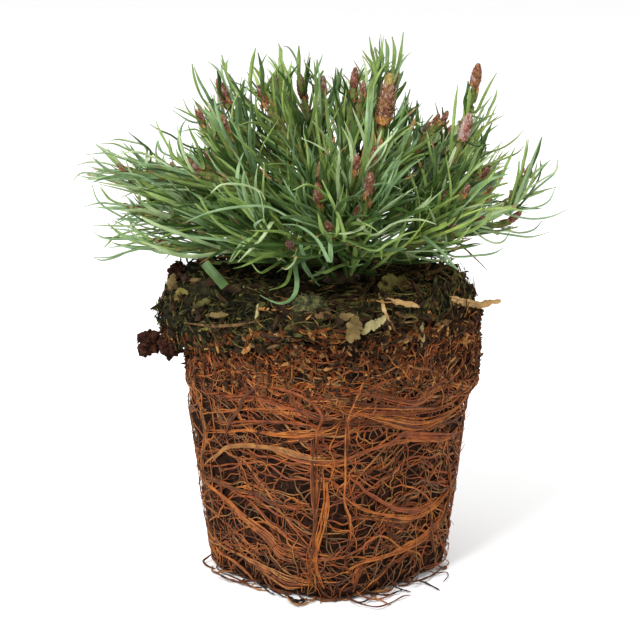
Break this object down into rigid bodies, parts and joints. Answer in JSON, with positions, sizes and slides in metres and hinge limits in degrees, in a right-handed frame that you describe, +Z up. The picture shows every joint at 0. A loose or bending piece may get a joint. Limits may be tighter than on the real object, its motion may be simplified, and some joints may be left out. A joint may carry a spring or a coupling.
{
  "type": "young mugo pine on its root ball",
  "caption": "Bushy young mugo pine with long needles and brown buds, standing on a bare, pot-shaped root ball with a crust of moss and litter.",
  "frame": {"origin": "centre of the root ball's flat underside", "axes": "+Z up the stem; -Y is the front, where a corner of the rounded square root ball points; +X is to the right seen from the front"},
  "size_m": [0.2125, 0.19, 0.2377],
  "materials": {
    "roots": "matte mat of orange-brown roots over dark soil",
    "litter": "matte, damp moss, bark and peat",
    "bark": "rough, scaly",
    "needles": "semi-gloss, waxy"
  },
  "bodies": {
    "root": {"root_ball": "roots", "moss_crust": "litter", "trunk": "bark", "bough_right_far": "bark", "bough_back_far_right": "bark", "bough_back_low": "bark", "bough_back_far_left": "bark", "bough_left_low": "bark", "bough_left_front": "bark", "bough_front_right": "bark", "bough_right_low": "bark", "bough_back_right": "bark", "bough_back_left": "bark", "bough_left_far": "bark", "bough_front_left": "bark", "bough_right_front": "bark", "bough_right_high": "bark", "bough_back_high": "bark", "bough_left_mid": "bark", "bough_front_low": "bark", "bough_left_high": "bark", "bough_right_tall": "bark", "bough_left_tall": "bark", "bough_centre_right": "bark", "bough_centre_back": "bark", "bough_centre_left": "bark", "bough_top_right": "bark", "mass_right_far": "needles", "mass_back_far_right": "needles", "mass_back_low": "needles", "mass_back_far_left": "needles", "mass_left_low": "needles", "mass_left_front": "needles", "mass_front_right": "needles", "mass_right_low": "needles", "mass_back_right": "needles", "mass_back_left": "needles", "mass_left_far": "needles", "mass_front_left": "needles", "mass_right_front": "needles", "mass_right_high": "needles", "mass_back_high": "needles", "mass_left_mid": "needles", "mass_front_low": "needles", "mass_left_high": "needles", "mass_right_tall": "needles", "mass_left_tall": "needles", "mass_centre_right": "needles", "mass_centre_back": "needles", "mass_centre_left": "needles", "mass_top_right": "needles", "mass_leader": "needles"}
  },
  "joints": []
}
